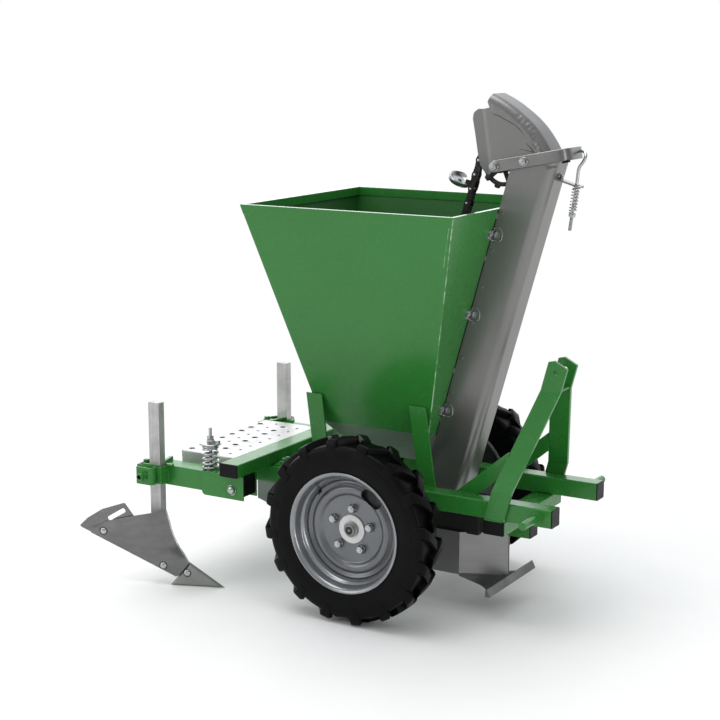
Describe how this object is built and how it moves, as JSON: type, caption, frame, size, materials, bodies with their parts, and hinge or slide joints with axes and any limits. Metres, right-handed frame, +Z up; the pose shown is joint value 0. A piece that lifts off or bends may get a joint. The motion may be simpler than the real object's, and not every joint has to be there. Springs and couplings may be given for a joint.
{
  "type": "potato planter",
  "caption": "Mounted potato planter: sloping hopper, leaning cup elevator, furrow opener, sprung ridgers, perforated step and ground wheels on a three-point headstock frame.",
  "frame": {"origin": "on the floor under the centre of the machine's overall box", "axes": "+X forward towards the tractor hitch, +Y the machine's left side, +Z up"},
  "size_m": [1.3858, 0.8918, 1.4224],
  "materials": {
    "green_paint": "semi-gloss green enamel",
    "grey_steel": "plain grey sheet steel, satin",
    "bare_steel": "bare ground-tool steel",
    "black_steel": "oiled black roller chain",
    "zinc": "galvanised",
    "rim_silver": "silver-grey rim paint",
    "tyre_rubber": "new black rubber",
    "black_plastic": "black plastic plugs"
  },
  "bodies": {
    "frame": {"main_beams": "green_paint", "front_crossbeam": "green_paint", "rear_crossbeam": "green_paint", "opener_bar": "green_paint", "end_caps": "black_plastic", "headstock_bars": "green_paint", "headstock_spacer": "green_paint", "headstock_braces": "green_paint", "hitch_pins": "green_paint", "hopper_front_panel": "green_paint", "hopper_rear_panel": "green_paint", "hopper_sides": "green_paint", "hopper_rim": "green_paint", "hopper_chute": "grey_steel", "hopper_legs": "green_paint", "axle": "grey_steel", "axle_bearings": "green_paint", "elevator_tube": "grey_steel", "elevator_hood": "grey_steel", "elevator_cheeks": "grey_steel", "elevator_chain": "black_steel", "elevator_cups": "zinc", "elevator_sprockets": "grey_steel", "tension_yoke": "zinc", "tension_rod": "zinc", "opener_box": "grey_steel", "opener_sole": "grey_steel", "soil_guards": "grey_steel", "step_plank": "zinc", "arm_saddles": "green_paint", "spring_rods": "zinc"},
    "wheel_right_body": {"tyre_right": "tyre_rubber", "wheel_right": "rim_silver"},
    "arm_right_body": {"ridger_arm_right": "green_paint", "arm_spring_right": "zinc"},
    "ridger_right_body": {"shank_right": "zinc", "mouldboard_right": "bare_steel", "ridger_share_right": "bare_steel"},
    "wheel_left_body": {"tyre_left": "tyre_rubber", "wheel_left": "rim_silver"},
    "arm_left_body": {"ridger_arm_left": "green_paint", "arm_spring_left": "zinc"},
    "ridger_left_body": {"shank_left": "zinc", "mouldboard_left": "bare_steel", "ridger_share_left": "bare_steel"}
  },
  "joints": [
    {"name": "wheel_right_spin", "type": "hinge", "parent": "frame", "child": "wheel_right_body", "pos_m": [0.1709, -0.328, 0.26], "axis": [0, 1, 0], "continuous": true},
    {"name": "ridger_arm_right_lift", "type": "hinge", "parent": "frame", "child": "arm_right_body", "pos_m": [-0.2301, -0.288, 0.3095], "axis": [0, 1, 0], "range_deg": [0, 12], "stiffness_Nm_per_rad": 150, "springref_deg": -15.47, "deforming": ["arm_spring_right"]},
    {"name": "ridger_right_depth", "type": "slide", "parent": "arm_right_body", "child": "ridger_right_body", "axis": [0, 0, 1], "range_m": [-0.05, 0.06]},
    {"name": "wheel_left_spin", "type": "hinge", "parent": "frame", "child": "wheel_left_body", "pos_m": [0.1709, 0.328, 0.26], "axis": [0, 1, 0], "continuous": true},
    {"name": "ridger_arm_left_lift", "type": "hinge", "parent": "frame", "child": "arm_left_body", "pos_m": [-0.2301, 0.288, 0.3095], "axis": [0, 1, 0], "range_deg": [0, 12], "stiffness_Nm_per_rad": 150, "springref_deg": -15.47, "deforming": ["arm_spring_left"]},
    {"name": "ridger_left_depth", "type": "slide", "parent": "arm_left_body", "child": "ridger_left_body", "axis": [0, 0, 1], "range_m": [-0.05, 0.06]}
  ]
}
